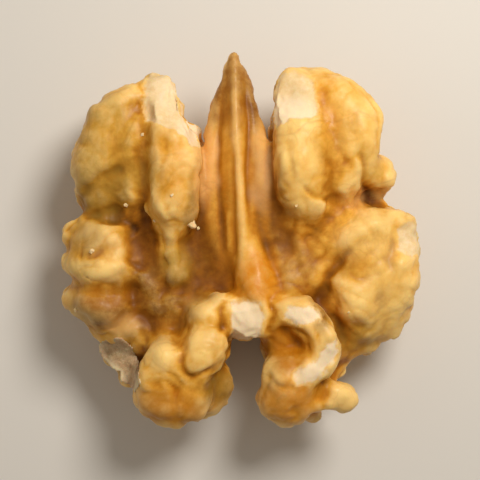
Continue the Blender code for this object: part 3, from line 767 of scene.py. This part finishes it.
    def on_keel(self, skin: SkinMesh) -> np.ndarray:
        """1 on the keel, 0 beside it."""
        y = skin.points[:, 1]
        half = np.interp(y, (-4.0, -1.0, 4.0, 8.2, 10.0, 12.0, 15.8), (1.0, 2.6, 3.2, 3.0, 2.3, 1.95, 0.4))
        inside = 1.0 - smooth_step(0.85, 1.1, np.abs(skin.points[:, 0] + 0.25) / half)
        return inside * smooth_step(-3.5, -0.5, y) * smooth_step(7.0, 8.0, skin.points[:, 2])

    def wrinkle(self, skin: SkinMesh) -> None:
        """Gives the folds fine wrinkles, and the back its narrow creases."""
        face = self.on_face(skin)
        keel = self.on_keel(skin)
        bent = skin.points + 0.9 * noise_field(skin.points, 3.0, (2.0, 5.0, 1.0))[:, None]
        ripple = np.abs(noise_field(bent, self.ripple_spacing, (4.1, 0.7, 2.6)))
        crinkle = np.abs(noise_field(bent, self.crinkle_spacing, (0.3, 8.2, 6.6)))
        crease = np.abs(noise_field(bent, self.back_spacing, (7.3, 2.2, 9.4)))
        height = self.ripple_height * (2.4 * ripple ** 0.8 - 0.6) + self.crinkle_height * (2.4 * crinkle - 0.6)
        height *= (1.0 - self.face_calm * face) * (1.0 - 0.8 * keel)
        height += self.back_height * (2.0 * np.minimum(crease, 0.4) ** 0.6 - 0.8) * (1.0 - face)
        skin.move(height * smooth_step(0.05, 0.6, skin.points[:, 2]))

    def draw(self, skin: SkinMesh) -> None:
        """Presses the named creases into the inner face and raises the named ridges."""
        places = wander(skin.points, 1.6, 0.45, (3.3, 6.1, 0.4))
        keel_places = wander(skin.points, 2.4, 0.10, (1.1, 2.4, 8.0))
        relief = sum(stroke.relief(keel_places) for stroke in self.keel_strokes)
        for group in (self.left_strokes, self.toe_strokes, self.right_strokes):
            relief = relief + sum(stroke.relief(places) for stroke in group)
        skin.move(relief * self.on_face(skin))

    def knock_off(self, skin: SkinMesh) -> np.ndarray:
        """Takes the skin off the chipped places and roughens the meat under it.

        Args:
            skin: The kernel's skin, which is changed.

        Returns:
            How far each point lies inside the nearest chip, in millimetres.
        """
        places = wander(skin.points, 0.9, 0.30, (5.5, 1.2, 3.1))
        grain = np.abs(noise_field(skin.points, 0.7, (8.8, 4.0, 1.5))) + 0.5 * noise_field(
            skin.points, 0.42, (2.8, 0.5, 7.1))
        facets = noise_field(skin.points, 1.7, (6.2, 6.9, 0.2))
        bare = self.on_face(skin) * (1.0 - self.on_keel(skin) * smooth_step(5.0, 7.0, skin.points[:, 1]))
        deepest = np.full(skin.count, -1.0)
        for chip in self.chips:
            inside = np.where(bare > 0.05, chip.outline.inside(places), -1.0)
            cut = smooth_step(-0.08, 0.14, inside) * smooth_step(0.0, 0.5, bare)
            here = inside > 0.0
            level = np.column_stack([skin.points[here, :2], np.ones(here.sum())])
            plane = np.linalg.lstsq(level, skin.points[here, 2], rcond=None)[0]
            flat = skin.points[:, :2] @ plane[:2] + plane[2] - skin.points[:, 2]
            pull = chip.flatness * smooth_step(0.0, 0.9, inside) * np.clip(flat, -1.2, 0.5)
            skin.points[:, 2] += skin.relaxed(pull * smooth_step(0.3, 0.75, skin.normals()[:, 2]), 12)
            skin.move(cut * (-chip.depth + 0.06 * grain + 0.12 * facets))
            deepest = np.maximum(deepest, inside)
        return deepest

    def tell_colours(self, skin: SkinMesh, chipped: np.ndarray) -> None:
        """Keeps at each point what the finish needs to know: hollows, valleys, chips and tints, of which the hollows,
        the valleys and several tints are partly painted shade and painted highlights.
        """
        face = self.on_face(skin)
        reach = np.linalg.norm(skin.points[:, :2], axis=1)
        # The valley, fold and crease values darken the skin's colour, partly for its own darker brown there and partly
        # as painted shade.
        below = 11.6 - 0.012 * reach ** 2 - skin.points[:, 2]
        skin.record("valley", face * smooth_step(0.9, 4.0, below) * (1.0 - smooth_step(12.5, 14.5, reach)))
        skin.record("fold", skin.hollow(160))
        skin.record("crease", skin.hollow(14))
        skin.record("chip", np.clip(chipped, -1.0, 1.0))
        places = wander(skin.points, 2.2, 0.7, (0.9, 3.8, 5.7))
        seen = smooth_step(0.0, 0.45, skin.normals()[:, 2]) * smooth_step(3.0, 5.0, skin.points[:, 2])
        for name, tints in self.tints.items():
            skin.record(name, seen * np.minimum(sum(tint.cover(places) for tint in tints), 1.0))
        # The keel takes a darker horn colour at its tip, its own colour, and along its grooves, which is partly
        # painted shade.
        near_keel = wander(skin.points, 2.4, 0.10, (1.1, 2.4, 8.0))
        crest, *lines = (stroke.relief(near_keel) / (stroke.press.value * stroke.height)
                         for stroke in self.keel_strokes[:4])
        tip = smooth_step(8.0, 11.0, skin.points[:, 1]) * (1.0 - 0.7 * crest)
        skin.record("horn", self.on_keel(skin) * np.maximum(tip, 0.45 * np.minimum(sum(lines), 1.0)))

    def build(self) -> bpy.types.Object:
        piece = self.copy_of_node(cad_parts[NODE])
        skin = SkinMesh(piece.data)
        skin.points = skin.relaxed(skin.points, self.even_steps)
        self.reshape(skin)
        self.calm(skin)
        self.sharpen(skin)
        self.wrinkle(skin)
        self.draw(skin)
        chipped = self.knock_off(skin)
        skin.points[:, 2] = np.maximum(skin.points[:, 2], 0.0)
        skin.write()
        self.tell_colours(skin, chipped)
        piece.data.shade_smooth()
        piece.data.materials.clear()
        piece.data.materials.append(self.finish.material())
        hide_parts(NODE)
        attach(piece, "root")
        log.info("walnut_half: %d vertices, %d faces", len(piece.data.vertices), len(piece.data.polygons))
        return piece


@dataclass
class Crumbs:
    """Small crumbs of broken meat that stick to the skin."""

    places: tuple[tuple[float, float, float], ...] = (
        (-4.0, 1.3, 0.34), (-9.4, 2.9, 0.16), (-12.2, -0.9, 0.20), (-13.6, -5.8, 0.18), (-5.5, 3.6, 0.12),
        (-8.0, 8.6, 0.14), (-3.5, 1.0, 0.14), (4.6, 2.8, 0.12), (-7.0, 1.6, 0.12), (8.9, -5.9, 0.10),
    )
    sunk: float = 0.45
    squash: float = 0.6
    lumpiness: float = 0.8

    def build(self, kernel: bpy.types.Object) -> bpy.types.Object:
        """Sets each crumb on the kernel, sunk a little way into its skin.

        Args:
            kernel: The finished kernel.

        Returns:
            One object that holds every crumb.
        """
        tree = BVHTree.FromObject(kernel, bpy.context.evaluated_depsgraph_get())
        bm = bmesh.new()
        for x, y, size in self.places:
            hit, normal, _, _ = tree.ray_cast(Vector((x * MM, y * MM, 0.05)), Vector((0.0, 0.0, -1.0)))
            made = bmesh.ops.create_icosphere(bm, subdivisions=3, radius=1.0)
            centre = hit + normal * size * MM * (1.0 - 2.0 * self.sunk)
            for vert in made["verts"]:
                lump = noise.noise(vert.co * 1.1 + Vector((x, y, size)))
                vert.co.z *= self.squash
                vert.co = centre + vert.co * (1.0 + self.lumpiness * lump) * size * MM
        mesh = bpy.data.meshes.new("crumbs")
        bm.to_mesh(mesh)
        bm.free()
        mesh.shade_smooth()
        mesh.materials.append(Meat().material())
        piece = bpy.data.objects.new("crumbs", mesh)
        bpy.context.scene.collection.objects.link(piece)
        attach(piece, "root")
        log.info("crumbs: %d of them", len(self.places))
        return piece


@dataclass
class PaperyShred:
    """A torn scrap of the papery partition that clings to the lower left fold."""

    outline: Outline = Outline(((-11.9, -8.6), (-11.9, -9.8), (-10.9, -10.5), (-10.2, -11.2), (-9.7, -12.3),
                                (-8.8, -12.6), (-8.3, -11.6), (-8.5, -10.2), (-9.0, -8.8), (-9.8, -8.2),
                                (-11.0, -8.1)))
    spacing: float = 0.16
    lowest: float = 4.6
    lift: float = 0.06
    curl: float = 0.30
    crumple: float = 0.20
    rim_width: float = 0.7
    thickness: float = 0.09
    drape_steps: int = 40
    finish: Paper = field(default_factory=Paper)

    def drape(self, bm: bmesh.types.BMesh, tree: BVHTree) -> None:
        """Lays the flat sheet over the kernel, bridging its creases and curling up at the outer edge.

        Args:
            bm: The flat sheet.
            tree: The kernel's surface.
        """
        hits = {vert: tree.ray_cast(Vector((vert.co.x, vert.co.y, 0.05)), Vector((0.0, 0.0, -1.0)))[0]
                for vert in bm.verts}
        ground = {vert: hit.z for vert, hit in hits.items() if hit is not None and hit.z > self.lowest * MM}
        for vert in bm.verts:
            under = min(ground, key=lambda other: (other.co.xy - vert.co.xy).length)
            vert.co.z = ground[under]
        for _ in range(self.drape_steps):
            bmesh.ops.smooth_vert(bm, verts=bm.verts, factor=0.5, use_axis_z=True)
            for vert, height in ground.items():
                vert.co.z = max(vert.co.z, height)
        for vert in bm.verts:
            x, y = vert.co.x / MM, vert.co.y / MM
            outer = float(smooth_step(7.2, 10.6, np.array(-0.8 * (x + 2.0) - 0.45 * (y + 6.0))))
            wave = noise.noise(Vector((x / 1.1, y / 1.1, 3.0))) + 0.4 * noise.noise(Vector((x / 0.5, y / 0.5, 7.0)))
            vert.co.z += (self.lift + self.crumple * wave + self.curl * outer ** 2) * MM

    def build(self, kernel: bpy.types.Object) -> bpy.types.Object:
        """Cuts the sheet to its torn outline, drapes it and gives it its thickness.

        Args:
            kernel: The finished kernel.

        Returns:
            The shred.
        """
        corners = np.array(self.outline.corners)
        low, high = corners.min(0) - 0.3, corners.max(0) + 0.3
        steps = np.ceil((high - low) / self.spacing).astype(int)
        bm = bmesh.new()
        bmesh.ops.create_grid(bm, x_segments=int(steps[0]), y_segments=int(steps[1]), size=0.5)
        bmesh.ops.scale(bm, vec=((high[0] - low[0]) * MM, (high[1] - low[1]) * MM, 1.0), verts=bm.verts)
        middle = (low + high) / 2
        bmesh.ops.translate(bm, vec=(middle[0] * MM, middle[1] * MM, 0.0), verts=bm.verts)
        centres = np.array([face.calc_center_median() for face in bm.faces]) / MM
        torn = self.outline.inside(wander(centres, 0.8, 0.32, (2.2, 9.1, 4.4))) < 0.0
        outside = [face for face, gone in zip(bm.faces, torn) if gone]
        bmesh.ops.delete(bm, geom=outside, context="FACES")
        self.drape(bm, BVHTree.FromObject(kernel, bpy.context.evaluated_depsgraph_get()))
        bmesh.ops.smooth_vert(bm, verts=bm.verts, factor=0.4, use_axis_x=True, use_axis_y=True)
        bmesh.ops.solidify(bm, geom=bm.faces[:], thickness=self.thickness * MM)
        bmesh.ops.recalc_face_normals(bm, faces=bm.faces)
        mesh = bpy.data.meshes.new("papery_shred")
        bm.to_mesh(mesh)
        bm.free()
        mesh.shade_smooth()
        places = np.array([vert.co for vert in mesh.vertices]) / MM
        close = self.outline.inside(wander(places, 0.8, 0.32, (2.2, 9.1, 4.4)))
        outer = smooth_step(19.0, 20.2, -places[:, 0] - places[:, 1])
        rim = mesh.attributes.new("rim", "FLOAT", "POINT")
        rim.data.foreach_set("value", outer * (1.0 - smooth_step(0.0, self.rim_width, close)))
        mesh.materials.append(self.finish.material())
        piece = bpy.data.objects.new("papery_shred", mesh)
        bpy.context.scene.collection.objects.link(piece)
        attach(piece, "root")
        log.info("papery_shred: %d faces", len(mesh.polygons))
        return piece


@dataclass
class Studio:
    """The plain pale floor, the soft light and the camera that looks straight down."""

    field_width: float = 40.0
    lens: float = 120.0
    sensor: float = 36.0
    look_at: tuple[float, float, float] = (0.0, 0.0, 8.0)
    key_power: float = 0.14
    fill_power: float = 0.01
    world_strength: float = 0.25

    def add_floor(self) -> None:
        """A large plain floor at the height that the kernel rests on."""
        bm = bmesh.new()
        bmesh.ops.create_grid(bm, x_segments=1, y_segments=1, size=0.5)
        mesh = bpy.data.meshes.new("floor")
        bm.to_mesh(mesh)
        bm.free()
        floor = bpy.data.objects.new("floor", mesh)
        floor.location.z = -0.00002
        bpy.context.scene.collection.objects.link(floor)
        material = bpy.data.materials.new("pale_floor")
        material.use_nodes = True
        shader = material.node_tree.nodes["Principled BSDF"]
        shader.inputs["Base Color"].default_value = (0.74, 0.72, 0.69, 1.0)
        shader.inputs["Roughness"].default_value = 0.85
        mesh.materials.append(material)

    def add_light(self, name: str, place: tuple[float, float, float], size: float, power: float,
                  colour: Colour) -> None:
        """A square soft light that shines at the kernel.

        Args:
            name: The light's name.
            place: Where it hangs, in millimetres.
            size: Its width, in millimetres.
            power: Its power in watts.
            colour: Its colour, 0 to 1.
        """
        light = bpy.data.lights.new(name, "AREA")
        light.shape = "DISK"
        light.size = size * MM
        light.energy = power
        light.color = colour
        lamp = bpy.data.objects.new(name, light)
        lamp.location = Vector(place) * MM
        aim = Vector(self.look_at) * MM - lamp.location
        lamp.rotation_euler = aim.to_track_quat("-Z", "Y").to_euler()
        bpy.context.scene.collection.objects.link(lamp)

    def add_camera(self) -> None:
        """The camera, high above the kernel, with the pointed end up in the picture."""
        camera = bpy.data.cameras.new("camera")
        camera.lens = self.lens
        camera.sensor_width = self.sensor
        camera.clip_start = 0.005
        camera.clip_end = 10.0
        holder = bpy.data.objects.new("camera", camera)
        distance = self.field_width * self.lens / self.sensor
        holder.location = (Vector(self.look_at) + Vector((0.0, 0.0, distance))) * MM
        bpy.context.scene.collection.objects.link(holder)
        bpy.context.scene.camera = holder

    def add_world(self) -> None:
        """Even pale light from all round."""
        world = bpy.data.worlds.new("studio")
        world.use_nodes = True
        sky = world.node_tree.nodes["Background"]
        sky.inputs["Color"].default_value = (1.0, 0.88, 0.72, 1.0)
        sky.inputs["Strength"].default_value = self.world_strength
        bpy.context.scene.world = world

    def build(self) -> None:
        """Sets up everything round the kernel."""
        self.add_camera()
        self.add_floor()
        self.add_light("key", (42.0, 58.0, 112.0), 50.0, self.key_power, (1.0, 0.94, 0.85))
        self.add_light("fill", (-95.0, 10.0, 70.0), 90.0, self.fill_power, (1.0, 0.95, 0.88))
        self.add_world()
        bpy.context.scene.view_settings.view_transform = "Standard"
        log.info("studio: camera %.0f mm wide at the kernel", self.field_width)


def main() -> None:
    """Builds the kernel, its crumbs and the studio, and notes the sizes."""
    logging.basicConfig(level=logging.INFO, format="%(name)s %(message)s")
    Studio().build()
    kernel = Kernel().build()
    Crumbs().build(kernel)
    PaperyShred().build(kernel)


if __name__ == "__main__":
    main()
